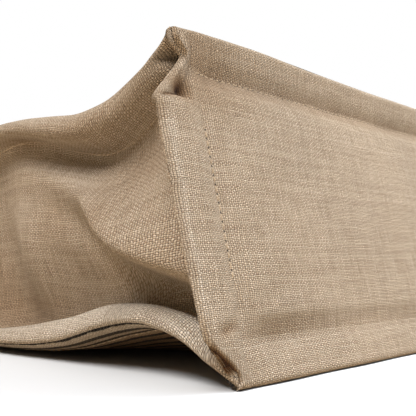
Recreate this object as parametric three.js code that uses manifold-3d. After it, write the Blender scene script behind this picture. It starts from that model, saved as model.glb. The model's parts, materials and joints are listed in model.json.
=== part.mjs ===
// Linen tote bag lying on its striped front panel, base towards -Y and mouth towards +Y.
// Five sewn panels meet in pinched seams. Each seam is a fin of two cloth layers outside its stitch line.
// Millimetres, +Z up. The origin is on the floor, under the middle of the front panel's flat part.
import * as THREE from 'three';
import Module from 'manifold-3d';
import { mergeVertices } from 'three/addons/utils/BufferGeometryUtils.js';

const wasm = await Module();
wasm.setup();

// Bag body
const bagWidth = 400; // between the corner tips of the base
const bagHeight = 370; // from the base's edge on the floor to the mouth
const baseDepth = 141; // between the two ridges of the base, along its slope
const baseLean = 13.9; // degrees that the base leans back
const baseLift = 1.5; // height of the base's lower ridge line
const floorFaceSetback = 150; // from the base's lower ridge to the origin
const clothThickness = 1.2;
const layerGap = 0.3; // between two layers or two pieces that touch

// Pinched seams
const endFinWidth = 17; // flange between the base and the front or back panel
const sideFinWidth = 9; // inset of the base's side stitch line from the corner tips
const sideFinBulge = 15; // how far the side ridge stands out past the corner tips
const sideFinRise = 22; // length over which the side ridge swells from a corner
const creaseDepth = 5; // stitch line behind the base's face
const lowerFlare = 3; // lower ridge in front of the base's face
const creaseSlope = 8; // strip beside the stitch line where the face comes forward
const gussetFinReach = 12; // stitch line inside the ridge, along the gussets
const gussetFinRise = 10; // back ridge above its stitch line
const gussetFinDroop = 7; // front ridge below its stitch line
const cornerDecay = 16; // distance over which a corner's shape dies out

// How the soft body lies
const backRidgeHeight = 111; // back ridge behind its corner
const backRidgeAtMouth = 75;
const backSlumpStart = 125; // distance from the base where the back ridge begins to fall
const backAtMouth = 62; // level of the back panel where the handle is fixed
const backFlatMargin = 14; // that level part past the ends of the tabs
const backEdgeBlend = 70; // strip over which the back panel sinks from its side seams
const frontRidgeHump = 20; // lift of the front side seam
const frontHumpPeak = 52; // distance from the base of that lift's top
const frontEdgeBlend = 45; // strip over which the front panel comes down to the floor
const frontFlatMargin = 19; // level part of the front panel past the ends of its tabs
const frontRiseLength = 45; // stretch before it, where the front panel leaves the floor
const gussetBulge = 12;
const gussetBulgePlace = 75;
const gussetFold = 42; // depth of the gusset's inward fold at the mouth
const hemDepth = 66; // cloth turned in at the mouth

// Base stiffener
const boardThickness = 2.5;
const boardMargin = 2; // board edge inside the flat part of the base

// Handles and rivets
const strapWidth = 25;
const strapThickness = 3.2;
const strapEdge = 0.8; // bevel along the strap's edges
const handleSpan = 150; // between the two legs of a handle
const handleReach = 180; // hinge line to the top of the loop
const handleLegs = 90; // straight part of each leg
const twistPower = 3; // how late the strap turns on edge
const tabLength = 62;
const tabOverhang = 6; // tab past the mouth
const hingeRise = 0.3; // hinge line above the strap
const frontRestTilt = 3.1; // degrees, loop lying on the floor
const backRestFold = 170; // degrees, loop folded back on the bag
const rivetCapRadius = 5;
const rivetCapHeight = 1.6;
const rivetRimHeight = 0.6;
const rivetFlatRadius = 3.6; // where a cap's dome turns flat
const rivetPostRadius = 2;
const rivetBackHeight = 1.6;
const rivetSocketDepth = 0.8;
const rivetInsets = [18, 46]; // from the hinge end of a tab
const rivetFloorGap = 0.2;

// Mesh fineness
const widthCells = 16;
const lengthCells = 18;
const depthCells = 8;
const lengthGrading = 1.25; // closer rows near the base
const strapSteps = 44;
const roundSides = 16;
const tabArcSteps = 10;
const domeSteps = 4;
const offsetDamping = 0.004; // steadies the thickening where a panel is nearly flat

const lean = THREE.MathUtils.degToRad(baseLean);
const halfWidth = bagWidth / 2;
const outerOffset = layerGap / 2 + clothThickness;
const hemOffset = layerGap / 2 - clothThickness;
const tabRoot = bagHeight + tabOverhang - tabLength; // a tab's end on its panel
const backFlatStart = tabRoot - backFlatMargin;
const frontRiseStart = tabRoot - frontFlatMargin - frontRiseLength;
const v3 = (x, y, z) => new THREE.Vector3(x, y, z);
const lerp = THREE.MathUtils.lerp;
const ramp = (x) => THREE.MathUtils.smoothstep(x, 0, 1);
const steps = (count) => Array.from({ length: count + 1 }, (_, k) => k / count);
const mirrored = (point) => v3(-point.x, point.y, point.z);

// A point of the base: u along its width from the left tip, v up its slope, w behind its face
function basePoint(u, v, w) {
  const y = v * Math.sin(lean) + w * Math.cos(lean);
  const z = v * Math.cos(lean) - w * Math.sin(lean);
  return v3(u - halfWidth, y, z + baseLift);
}

const lowerTip = basePoint(0, 0, -lowerFlare);
const upperTip = basePoint(0, baseDepth, 0);
const lowerRoot = basePoint(sideFinWidth, endFinWidth, creaseDepth);
const upperRoot = basePoint(sideFinWidth, baseDepth - endFinWidth, creaseDepth);

// Places along a face that has a sloped strip beside each stitch line
function facePlaces(length, cells) {
  const strip = creaseSlope / length;
  const inner = steps(cells - 2).map((f) => lerp(strip, 1 - strip, f));
  return [0, ...inner, 1];
}

const faceWidth = bagWidth - 2 * sideFinWidth;
const faceDepth = baseDepth - 2 * endFinWidth;
const widthPlaces = facePlaces(faceWidth, widthCells);
const depthPlaces = facePlaces(faceDepth, depthCells);
const lengthPlaces = steps(lengthCells).map((f) => f ** lengthGrading);

// A seam holds its stitch line as roots and its outer fold as ridges
function makeSeam(places, rootAt, ridgeAt) {
  return { roots: places.map(rootAt), ridges: places.map(ridgeAt) };
}

function mirrorSeam(seam) {
  return { roots: seam.roots.map(mirrored), ridges: seam.ridges.map(mirrored) };
}

// The side ridge swells out between its two corner tips
function sideRidge(f) {
  const v = baseDepth * f;
  const swell = ramp(v / sideFinRise) * ramp((baseDepth - v) / sideFinRise);
  const flare = lowerFlare * (1 - ramp(v / sideFinRise));
  return basePoint(-sideFinBulge * swell, v, -flare);
}

// Height of the side ridge on the back, at a distance behind the base
function backRidge(distance) {
  const peak = (upperTip.z - backRidgeHeight) * Math.exp(-distance / cornerDecay);
  const slumpLength = bagHeight - upperTip.y - backSlumpStart;
  const slump = (backRidgeHeight - backRidgeAtMouth) * ramp((distance - backSlumpStart) / slumpLength);
  return backRidgeHeight + peak - slump;
}

// Height of the side ridge on the front, which lifts off the floor behind the corner
function frontRidge(distance) {
  const place = distance / frontHumpPeak;
  return lowerTip.z + frontRidgeHump * (place * Math.exp(1 - place)) ** 2;
}

function lengthRidge(tip, heightAt) {
  return (f) => {
    const distance = (bagHeight - tip.y) * f;
    return v3(tip.x, tip.y + distance, heightAt(distance));
  };
}

// The stitch line starts at the corner's root and settles at a steady inset from the ridge
function lengthRoot(tip, root, heightAt, rise) {
  const ridgeAt = lengthRidge(tip, heightAt);
  return (f) => {
    const ridge = ridgeAt(f);
    const settled = 1 - Math.exp((tip.y - ridge.y) / cornerDecay);
    const x = ridge.x + lerp(root.x - tip.x, gussetFinReach, settled);
    const z = ridge.z + lerp(root.z - tip.z, rise, settled);
    return v3(x, lerp(root.y, bagHeight, f), z);
  };
}

const upperCrease = baseDepth - endFinWidth;
const sideRoot = (f) => basePoint(sideFinWidth, endFinWidth + faceDepth * f, creaseDepth);
const acrossBase = (v, w) => (f) => basePoint(sideFinWidth + faceWidth * f, v, w);
const acrossTips = (v, w) => (f) => basePoint(bagWidth * f, v, w);

const seams = {
  baseFront: makeSeam(widthPlaces, acrossBase(endFinWidth, creaseDepth), acrossTips(0, -lowerFlare)),
  baseBack: makeSeam(widthPlaces, acrossBase(upperCrease, creaseDepth), acrossTips(baseDepth, 0)),
  baseLeft: makeSeam(depthPlaces, sideRoot, sideRidge),
  leftBack: makeSeam(
    lengthPlaces,
    lengthRoot(upperTip, upperRoot, backRidge, -gussetFinRise),
    lengthRidge(upperTip, backRidge),
  ),
  leftFront: makeSeam(
    lengthPlaces,
    lengthRoot(lowerTip, lowerRoot, frontRidge, gussetFinDroop),
    lengthRidge(lowerTip, frontRidge),
  ),
};
seams.baseRight = mirrorSeam(seams.baseLeft);
seams.rightBack = mirrorSeam(seams.leftBack);
seams.rightFront = mirrorSeam(seams.leftFront);

// A cloth panel is a grid of points with a fin along each seam, thickened towards its outer side
class Panel {
  constructor(grid, turned) {
    this.points = [];
    this.places = new Map();
    this.faces = [];
    this.turned = turned;
    for (let i = 0; i + 1 < grid.length; i += 1) {
      for (let j = 0; j + 1 < grid[i].length; j += 1) {
        const corners = [grid[i][j], grid[i + 1][j], grid[i + 1][j + 1], grid[i][j + 1]];
        this.addQuad(corners, false);
      }
    }
  }

  indexOf(point) {
    const key = point.toArray().map((value) => value.toFixed(4)).join(' ');
    if (!this.places.has(key)) {
      this.places.set(key, this.points.length);
      this.points.push(point);
    }
    return this.places.get(key);
  }

  addQuad(corners, reversed) {
    const [a, b, c, d] = corners.map((point) => this.indexOf(point));
    const plain = this.turned === reversed;
    this.faces.push(plain ? [a, b, c] : [a, c, b]);
    this.faces.push(plain ? [a, c, d] : [a, d, c]);
  }

  addFin(seam, reversed) {
    for (let k = 0; k + 1 < seam.roots.length; k += 1) {
      this.addQuad([seam.roots[k], seam.roots[k + 1], seam.ridges[k + 1], seam.ridges[k]], reversed);
    }
    return this;
  }

  // For each point, the step that moves away from all faces around it by one unit
  outwardSteps() {
    const sums = this.points.map(() => ({ square: new Array(9).fill(0), normal: v3(0, 0, 0), count: 0 }));
    for (const [a, b, c] of this.faces) {
      const triangle = new THREE.Triangle(this.points[a], this.points[b], this.points[c]);
      const normal = triangle.getNormal(v3(0, 0, 0));
      const n = normal.toArray();
      for (const corner of [a, b, c]) {
        const sum = sums[corner];
        sum.normal.add(normal);
        sum.count += 1;
        for (let k = 0; k < 9; k += 1) {
          sum.square[k] += n[Math.floor(k / 3)] * n[k % 3];
        }
      }
    }
    return sums.map(({ square, normal, count }) => {
      const matrix = new THREE.Matrix3();
      matrix.set(...square.map((value, k) => value + (k % 4 === 0 ? offsetDamping * count : 0)));
      return normal.applyMatrix3(matrix.invert());
    });
  }

  // Closes the sheet: an outer layer, an inner layer turned round and a wall along every open edge
  toGeometry(hemPoints = new Set()) {
    const outward = this.outwardSteps();
    const inner = this.points.map((point, k) => {
      const offset = hemPoints.has(point) ? hemOffset : layerGap / 2;
      return point.clone().addScaledVector(outward[k], offset);
    });
    const outer = this.points.map((point, k) => point.clone().addScaledVector(outward[k], outerOffset));
    const count = this.points.length;
    const triangles = [];
    const edges = new Map();
    for (const [a, b, c] of this.faces) {
      triangles.push([a, b, c], [a + count, c + count, b + count]);
      for (const [from, to] of [[a, b], [b, c], [c, a]]) {
        if (!edges.delete(`${to} ${from}`)) {
          edges.set(`${from} ${to}`, [from, to]);
        }
      }
    }
    for (const [from, to] of edges.values()) {
      triangles.push([to, from, from + count], [to, from + count, to + count]);
    }
    const geometry = new THREE.BufferGeometry();
    const positions = [...outer, ...inner].flatMap((point) => point.toArray());
    geometry.setAttribute('position', new THREE.Float32BufferAttribute(positions, 3));
    geometry.setIndex(triangles.flat());
    return geometry;
  }
}

// Points that lie in the turned-in hem, away from the side seams
function hemPoints(grid, isSeamRow) {
  const hem = grid.flatMap((row, i) => row.filter((point, j) => !isSeamRow(i, j)));
  return new Set(hem.filter((point) => point.y > bagHeight - hemDepth));
}

// Front panel: on the floor in the middle, lifted to its seams and to the rivets at the mouth
const restLevel = outerOffset;
const frontStrapLevel = rivetFloorGap + rivetCapHeight + layerGap;
const frontAtMouth = frontStrapLevel + strapThickness + layerGap + outerOffset;

function frontLevel(y) {
  return lerp(restLevel, frontAtMouth, ramp((y - frontRiseStart) / frontRiseLength));
}

function frontGrid() {
  return widthPlaces.map((f, i) => lengthPlaces.map((g, j) => {
    const edge = seams.leftFront.roots[j];
    if (i === 0) return edge;
    if (i === widthCells) return seams.rightFront.roots[j];
    if (j === 0) return seams.baseFront.roots[i];
    const x = lerp(edge.x, -edge.x, f);
    const fromSide = 1 - ramp((Math.abs(edge.x) - Math.abs(x)) / frontEdgeBlend);
    const fromBase = 1 - ramp((edge.y - lowerRoot.y) / frontEdgeBlend);
    const level = frontLevel(edge.y);
    const sideRise = (edge.z - level) * fromSide;
    const baseRise = (lowerRoot.z - level) * fromBase;
    return v3(x, edge.y, level + Math.max(sideRise, baseRise));
  }));
}

// Back panel: straight along the base, sinking between its side seams to a level part at the mouth
function backGrid() {
  return widthPlaces.map((f, i) => lengthPlaces.map((g, j) => {
    const edge = seams.leftBack.roots[j];
    if (i === 0) return edge;
    if (i === widthCells) return seams.rightBack.roots[j];
    if (j === 0) return seams.baseBack.roots[i];
    const x = lerp(edge.x, -edge.x, f);
    const slumped = ramp((edge.y - upperRoot.y) / (backFlatStart - upperRoot.y));
    const middle = lerp(upperRoot.z, backAtMouth, slumped);
    const sink = ramp((Math.abs(edge.x) - Math.abs(x)) / backEdgeBlend);
    return v3(x, edge.y, lerp(edge.z, middle, sink));
  }));
}

// Left gusset: swells out near the base and folds inwards at the mouth
function gussetGrid() {
  const low = seams.leftFront.roots;
  const high = seams.leftBack.roots;
  const near = seams.baseLeft.roots;
  return lengthPlaces.map((f, i) => depthPlaces.map((g, j) => {
    if (i === 0) return near[j];
    if (j === 0) return low[i];
    if (j === depthCells) return high[i];
    const across = low[i].clone().lerp(high[i], g);
    const atBase = low[0].clone().lerp(high[0], g);
    const point = across.add(near[j].clone().sub(atBase).multiplyScalar(1 - f));
    const peak = Math.exp(-(((point.y - gussetBulgePlace) / gussetBulgePlace) ** 2));
    const arch = Math.sin(Math.PI * g);
    const foldStart = (point.y - gussetBulgePlace) / (bagHeight - gussetBulgePlace);
    point.x += gussetFold * arch * ramp(foldStart) - gussetBulge * arch * peak;
    return point;
  }));
}

function baseGrid() {
  return widthPlaces.map((f, i) => depthPlaces.map((g, j) => {
    const onSide = i === 0 || i === widthCells;
    const onEnd = j === 0 || j === depthCells;
    const depth = onSide || onEnd ? creaseDepth : 0;
    return basePoint(sideFinWidth + faceWidth * f, endFinWidth + faceDepth * g, depth);
  }));
}

const mirrorGrid = (grid) => grid.map((row) => row.map(mirrored));

// Cutting with a second solid
function toSolid(geometry) {
  const bare = geometry.clone();
  bare.deleteAttribute('normal');
  bare.deleteAttribute('uv');
  const merged = mergeVertices(bare, 1e-4);
  const vertProperties = new Float32Array(merged.attributes.position.array);
  const triVerts = new Uint32Array(merged.index.array);
  return new wasm.Manifold(new wasm.Mesh({ numProp: 3, vertProperties, triVerts }));
}

function subtract(geometry, cutters) {
  let solid = toSolid(geometry);
  for (const cutter of cutters) {
    solid = solid.subtract(toSolid(cutter));
  }
  const mesh = solid.getMesh();
  const result = new THREE.BufferGeometry();
  result.setAttribute('position', new THREE.Float32BufferAttribute(mesh.vertProperties, 3));
  result.setIndex([...mesh.triVerts]);
  return result;
}

// Materials
const linen = { color: 0xb49d80, roughness: 0.95, metalness: 0 };
const leather = { color: 0x8a5a34, roughness: 0.6, metalness: 0 };
const board = { color: 0x9b8567, roughness: 0.9, metalness: 0 };
const brass = { color: 0xb08f55, roughness: 0.35, metalness: 1 };

const bag = new THREE.Group();
bag.position.y = -floorFaceSetback;

function addPart(name, geometry, finish, parent = bag) {
  const mesh = new THREE.Mesh(geometry, new THREE.MeshStandardMaterial(finish));
  mesh.name = name;
  parent.add(mesh);
  return mesh;
}

// Handle places, shared by the tabs, the rivets and the holes in the panels
const hingeY = bagHeight + tabOverhang + layerGap / 2;
const tabEnd = bagHeight + tabOverhang;
const holeRadius = rivetPostRadius + layerGap;
const legPlaces = { left: -handleSpan / 2, right: handleSpan / 2 };
const legRivets = (x) => rivetInsets.map((inset) => [x, tabEnd - inset]);
const rivetPlaces = Object.values(legPlaces).flatMap(legRivets);

function rivetHoles(level) {
  return rivetPlaces.map(([x, y]) => {
    const depth = 4 * outerOffset + 2 * clothThickness;
    const hole = new THREE.CylinderGeometry(holeRadius, holeRadius, depth, roundSides);
    return hole.rotateX(Math.PI / 2).translate(x, y, level);
  });
}

// The five panels
const bottomSheet = new Panel(baseGrid(), false);
bottomSheet.addFin(seams.baseLeft, false).addFin(seams.baseRight, true);
bottomSheet.addFin(seams.baseFront, true).addFin(seams.baseBack, false);
addPart('bottom_panel', bottomSheet.toGeometry(), linen);

function mainPanel(grid, turned, [leftSeam, rightSeam, baseSeam], level) {
  const sheet = new Panel(grid, turned);
  sheet.addFin(leftSeam, false).addFin(rightSeam, true).addFin(baseSeam, true);
  const hem = hemPoints(grid, (i) => i === 0 || i === widthCells);
  return subtract(sheet.toGeometry(hem), rivetHoles(level));
}

const frontSeams = [seams.leftFront, seams.rightFront, seams.baseFront];
addPart('front_panel', mainPanel(frontGrid(), true, frontSeams, frontAtMouth), linen);
const backSeams = [seams.leftBack, seams.rightBack, seams.baseBack];
addPart('back_panel', mainPanel(backGrid(), false, backSeams, backAtMouth), linen);

function gussetPanel(grid, turned, [baseSeam, frontSeam, backSeam]) {
  const sheet = new Panel(grid, turned);
  sheet.addFin(baseSeam, false).addFin(frontSeam, true).addFin(backSeam, false);
  return sheet.toGeometry(hemPoints(grid, (i, j) => j === 0 || j === depthCells));
}

const leftGrid = gussetGrid();
const leftSeams = [seams.baseLeft, seams.leftFront, seams.leftBack];
addPart('left_gusset', gussetPanel(leftGrid, true, leftSeams), linen);
const rightSeams = [seams.baseRight, seams.rightFront, seams.rightBack];
addPart('right_gusset', gussetPanel(mirrorGrid(leftGrid), false, rightSeams), linen);

// Stiff board behind the base's flat face
const boardWidth = faceWidth - 2 * (creaseSlope + boardMargin);
const boardDepth = faceDepth - 2 * (creaseSlope + boardMargin);
const boardShape = new THREE.BoxGeometry(boardWidth, boardThickness, boardDepth);
const boardMesh = addPart('bottom_board', boardShape, board);
boardMesh.position.copy(basePoint(halfWidth, baseDepth / 2, layerGap / 2 + boardThickness / 2));
boardMesh.rotation.x = -lean;

// Strap end fixed to a panel: square at the hinge, round at the far end, with a hole for each rivet
function tabGeometry() {
  const half = strapWidth / 2;
  const outline = new THREE.Shape();
  outline.moveTo(half, 0);
  outline.lineTo(-half, 0);
  outline.lineTo(-half, half - tabLength);
  outline.absarc(0, half - tabLength, half, Math.PI, 2 * Math.PI, false);
  outline.closePath();
  for (const inset of rivetInsets) {
    const hole = new THREE.Path();
    hole.absarc(0, -inset, holeRadius, 0, 2 * Math.PI, true);
    outline.holes.push(hole);
  }
  const settings = { depth: strapThickness, bevelEnabled: false, curveSegments: tabArcSteps };
  return new THREE.ExtrudeGeometry(outline, settings);
}

// Handle loop in its hinge's frame: legs along +Y, flat at the hinge and on edge at the top
function loopGeometry() {
  const start = layerGap / 2;
  const arcHeight = handleReach - handleLegs;
  const middle = -hingeRise - strapThickness / 2;
  const section = [
    [-strapWidth / 2 + strapEdge, -strapThickness / 2], [strapWidth / 2 - strapEdge, -strapThickness / 2],
    [strapWidth / 2, strapEdge - strapThickness / 2], [strapWidth / 2, strapThickness / 2 - strapEdge],
    [strapWidth / 2 - strapEdge, strapThickness / 2], [-strapWidth / 2 + strapEdge, strapThickness / 2],
    [-strapWidth / 2, strapThickness / 2 - strapEdge], [-strapWidth / 2, strapEdge - strapThickness / 2],
  ];
  const path = new THREE.CurvePath();
  const leftFoot = v3(-handleSpan / 2, start, middle);
  const leftTop = v3(-handleSpan / 2, handleLegs, middle);
  const arch = new THREE.EllipseCurve(0, handleLegs, handleSpan / 2, arcHeight, Math.PI, 0, true);
  const archPoints = arch.getSpacedPoints(strapSteps).map((point) => v3(point.x, point.y, middle));
  path.add(new THREE.LineCurve3(leftFoot, leftTop));
  path.add(new THREE.CatmullRomCurve3(archPoints));
  path.add(new THREE.LineCurve3(mirrored(leftTop), mirrored(leftFoot)));
  const positions = [];
  for (const place of path.getSpacedPoints(strapSteps)) {
    const along = (place.y - start) / (handleReach - start);
    const twist = (Math.PI / 2) * Math.max(along, 0) ** twistPower;
    const angle = Math.atan2(Math.max(place.y - handleLegs, 0) / arcHeight, -place.x / (handleSpan / 2));
    const inPlane = v3(Math.cos(angle) / (handleSpan / 2), -Math.sin(angle) / arcHeight, 0).normalize();
    const across = inPlane.clone().multiplyScalar(Math.cos(twist)).add(v3(0, 0, -Math.sin(twist)));
    const through = inPlane.multiplyScalar(Math.sin(twist)).add(v3(0, 0, Math.cos(twist)));
    for (const [a, b] of section) {
      const corner = place.clone().addScaledVector(across, a).addScaledVector(through, b);
      positions.push(...corner.toArray());
    }
  }
  const sides = section.length;
  const indices = [];
  for (let k = 0; k < strapSteps; k += 1) {
    for (let s = 0; s < sides; s += 1) {
      const a = k * sides + s;
      const b = k * sides + ((s + 1) % sides);
      indices.push(a, a + sides, b, b, a + sides, b + sides);
    }
  }
  const last = strapSteps * sides;
  for (let s = 1; s + 1 < sides; s += 1) {
    indices.push(0, s, s + 1, last, last + s + 1, last + s);
  }
  const geometry = new THREE.BufferGeometry();
  geometry.setAttribute('position', new THREE.Float32BufferAttribute(positions, 3));
  geometry.setIndex(indices);
  return geometry;
}

// Two-piece rivet, revolved about +Y: a domed cap with its post, and a back cap with a socket
const clampDepth = layerGap + strapThickness + layerGap + 2 * clothThickness + layerGap;

function rivetCapGeometry() {
  const postEnd = clampDepth + rivetSocketDepth - layerGap;
  const profile = new THREE.Path();
  profile.moveTo(0, -postEnd);
  profile.lineTo(rivetPostRadius, -postEnd);
  profile.lineTo(rivetPostRadius, 0);
  profile.lineTo(rivetCapRadius, 0);
  profile.lineTo(rivetCapRadius, rivetRimHeight);
  profile.quadraticCurveTo(rivetFlatRadius, rivetCapHeight, 0, rivetCapHeight);
  return new THREE.LatheGeometry(profile.getPoints(domeSteps), roundSides);
}

function rivetBackGeometry() {
  const end = -clampDepth - rivetBackHeight;
  const socketEnd = -clampDepth - rivetSocketDepth;
  const profile = [
    [0, end], [rivetFlatRadius, end], [rivetCapRadius, end + rivetRimHeight], [rivetCapRadius, -clampDepth],
    [holeRadius, -clampDepth], [holeRadius, socketEnd], [0, socketEnd],
  ];
  return new THREE.LatheGeometry(profile.map(([x, y]) => new THREE.Vector2(x, y)), roundSides);
}

// One handle: a group on the panel's outer face, with its tabs, rivets and swinging loop
function addHandle(side, tabLevel, outwards, restAngle) {
  const hinge = new THREE.Group();
  hinge.position.set(0, hingeY, tabLevel + strapThickness + hingeRise);
  hinge.rotation.x = THREE.MathUtils.degToRad(restAngle);
  bag.add(hinge);
  addPart(`${side}_handle`, loopGeometry(), leather, hinge);
  const capLevel = outwards > 0 ? tabLevel + strapThickness + layerGap : tabLevel - layerGap;
  for (const [leg, x] of Object.entries(legPlaces)) {
    addPart(`${side}_${leg}_tab`, tabGeometry(), leather).position.set(x, tabEnd, tabLevel);
    rivetInsets.forEach((inset, k) => {
      const name = `${side}_${leg}_rivet_${k + 1}`;
      const cap = addPart(`${name}_cap`, rivetCapGeometry(), brass);
      const back = addPart(`${name}_back`, rivetBackGeometry(), brass);
      for (const piece of [cap, back]) {
        piece.position.set(x, tabEnd - inset, capLevel);
        piece.rotation.x = (outwards * Math.PI) / 2;
      }
    });
  }
}

addHandle('front', frontStrapLevel, -1, frontRestTilt);
addHandle('back', backAtMouth + outerOffset + layerGap, 1, backRestFold);

export default bag;
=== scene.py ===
import json
import math
import bpy
import numpy as np
from functools import partial
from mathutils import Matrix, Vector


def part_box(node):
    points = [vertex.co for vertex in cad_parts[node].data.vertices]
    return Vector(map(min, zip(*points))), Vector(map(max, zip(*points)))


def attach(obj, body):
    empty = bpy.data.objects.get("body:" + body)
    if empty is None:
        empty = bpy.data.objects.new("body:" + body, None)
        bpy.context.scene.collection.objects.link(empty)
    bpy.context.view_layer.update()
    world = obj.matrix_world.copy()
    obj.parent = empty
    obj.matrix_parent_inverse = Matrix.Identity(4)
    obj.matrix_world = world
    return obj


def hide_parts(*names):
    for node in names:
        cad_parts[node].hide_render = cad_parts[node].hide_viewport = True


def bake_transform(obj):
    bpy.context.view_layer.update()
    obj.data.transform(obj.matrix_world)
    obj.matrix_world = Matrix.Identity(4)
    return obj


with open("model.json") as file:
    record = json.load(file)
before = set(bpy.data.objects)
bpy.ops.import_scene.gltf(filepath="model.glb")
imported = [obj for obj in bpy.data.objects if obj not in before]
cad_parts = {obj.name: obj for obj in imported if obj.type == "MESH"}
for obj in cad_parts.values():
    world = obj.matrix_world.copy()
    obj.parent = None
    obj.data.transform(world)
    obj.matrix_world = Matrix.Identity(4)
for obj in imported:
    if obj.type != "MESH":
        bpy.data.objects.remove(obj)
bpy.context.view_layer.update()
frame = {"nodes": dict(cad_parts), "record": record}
print("frame loaded,", len(frame["nodes"]), "nodes")

mm = 0.001  # the sewing sizes below are in millimetres

# How the bag was cut and how it lies
bag = {
    "width": 400, "length": 370, "baseDepth": 141, "lean": 13.9, "lift": 1.5, "setback": 150,
    # flat widths of the pinched seams, and the stitch line's distance from the corner tips
    "sideFin": 24, "endFin": 17, "frontFin": 15, "backFin": 28, "stitchInset": 9,
    "cloth": 1.1, "layer": 0.75, "finPuff": 2.3, "finRise": 0.5, "heldEdge": 3, "floorGap": 0.05,
    "lip": 2.2, "lipGap": 0.12, "lipThin": 0.7,  # the rounding where two layers meet
    "hem": 66, "hemStitch": 62, "hemRise": 3, "hemGap": 1, "hemFade": 8, "mouthFade": 14, "mouthPast": 1,
}


def ramp(x):
    x = np.clip(x, 0, 1)
    return x * x * (3 - 2 * x)


def rising(x, start, run):
    return ramp((x - start) / run)


def falling(x, end, run):
    return ramp((end - x) / run)


def window(x, low, high, fade, highFade=None):  # one between low and high, with soft ends inside them
    return rising(x, low, fade) * falling(x, high, highFade or fade)


def lerp(a, b, t):
    return a + (b - a) * t


def bell(x, middle, reach):
    return np.exp(-((x - middle) / reach) ** 2)


def roundSpot(a, b, place, reach):
    return bell(np.hypot(a - place[0], b - place[1]), 0, reach)


def softSpots(a, b, spots):
    shade = 0
    for spot in spots:
        (atA, atB), (softA, softB) = spot["at"], spot["soft"]
        shade = shade + spot["shade"] * bell(a, atA, softA) * bell(b, atB, softB)
    return shade


def softLine(x, line, values="value"):
    spread = np.linspace(-line["soft"], line["soft"], 9)  # corners rounded by averaging the straight line
    return sum(np.interp(x + d, line["along"], line[values]) for d in spread) / len(spread)


def waves(a, b, size, seed):
    rng = np.random.default_rng(seed)
    total = np.zeros(np.broadcast(a, b).shape)
    count = 7
    for _ in range(count):
        angle, phase = rng.uniform(0, math.pi), rng.uniform(0, 2 * math.pi)
        length = size * rng.uniform(0.7, 1.6)
        total = total + np.sin((a * math.cos(angle) + b * math.sin(angle)) * 2 * math.pi / length + phase)
    return total / (count / 2)


def stations(breaks, steps):
    runs = [np.linspace(lo, hi, max(1, round((hi - lo) / step)) + 1)[:-1]
            for lo, hi, step in zip(breaks[:-1], breaks[1:], steps)]
    return np.append(np.concatenate(runs), breaks[-1])


def basePoint(u, v, w):  # u across from the left tip, v up the slope, w behind the face
    lean = math.radians(bag["lean"])
    u, v, w = np.broadcast_arrays(u, v, w)
    y = v * math.sin(lean) + w * math.cos(lean)
    z = v * math.cos(lean) - w * math.sin(lean)
    return np.stack([u - bag["width"] / 2, y, z + bag["lift"]], -1)


def unit(vectors):
    return vectors / np.linalg.norm(vectors, axis=-1, keepdims=True)


def runLength(points):
    return np.insert(np.cumsum(np.linalg.norm(np.diff(points, axis=0), axis=1)), 0, 0)


# Panel meshes
def aroundSum(grid):
    return grid[:-2, 1:-1] + grid[2:, 1:-1] + grid[1:-1, :-2] + grid[1:-1, 2:]


def relax(points, fromEdge, rounds):  # evens out the cloth away from its held edges
    free = np.clip(fromEdge / bag["heldEdge"] - 1, 0, 1)[1:-1, 1:-1, None]
    for _ in range(rounds):
        points[1:-1, 1:-1] += 0.5 * free * (aroundSum(points) / 4 - points[1:-1, 1:-1])


def finRise(outside, fin):  # how far a pinched seam has puffed up outside its stitch line
    return ramp(outside / (bag["finRise"] * fin))


def flatAtMouth(toMouth):  # the pinched seams lie flat at the mouth
    return ramp((toMouth + bag["mouthPast"]) / bag["mouthFade"])


def hemRaise(toMouth, across, low, high):  # doubled cloth at the mouth, between two seams
    inside = window(across, low + bag["hemGap"], high - bag["hemGap"], bag["hemFade"])
    return ramp((bag["hem"] - toMouth) / bag["hemRise"]) * inside


def gridNormals(points, turned):
    normals = np.cross(np.gradient(points, axis=1), np.gradient(points, axis=0))
    normals /= np.maximum(np.linalg.norm(normals, axis=-1, keepdims=True), 1e-9)
    normals = -normals if turned else normals
    for _ in range(2):
        normals[1:-1, 1:-1] += aroundSum(normals)
        normals = unit(normals)
    return normals


def meshObject(name, points, faces, uv=None):
    mesh = bpy.data.meshes.new(name)
    mesh.from_pydata((np.asarray(points) * mm).tolist(), [], [list(map(int, f)) for f in faces])
    mesh.update()
    if uv is not None:
        layer = mesh.uv_layers.new(name="cut")
        corners = np.empty(len(mesh.loops), dtype=np.int32)
        mesh.loops.foreach_get("vertex_index", corners)
        layer.data.foreach_set("uv", (np.asarray(uv)[corners] * mm).ravel())
    mesh.shade_smooth()
    piece = bpy.data.objects.new(name, mesh)
    bpy.context.scene.collection.objects.link(piece)
    return piece


def pointValues(piece, name, values):
    piece.data.attributes.new(name, "FLOAT", "POINT").data.foreach_set("value", values)


def unstretch(outer, flat):  # weave laid out by true length from the middle of the panel
    laid = flat.copy()
    for axis, part in ((1, 0), (0, 1)):
        steps = np.linalg.norm(np.diff(outer, axis=axis), axis=-1)
        run = np.insert(np.cumsum(steps, axis=axis), 0, 0, axis=axis)
        middle = outer.shape[axis] // 2
        laid[..., part] += np.take(flat[..., part] - run, [middle], axis=axis) + run - flat[..., part]
    return laid


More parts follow.
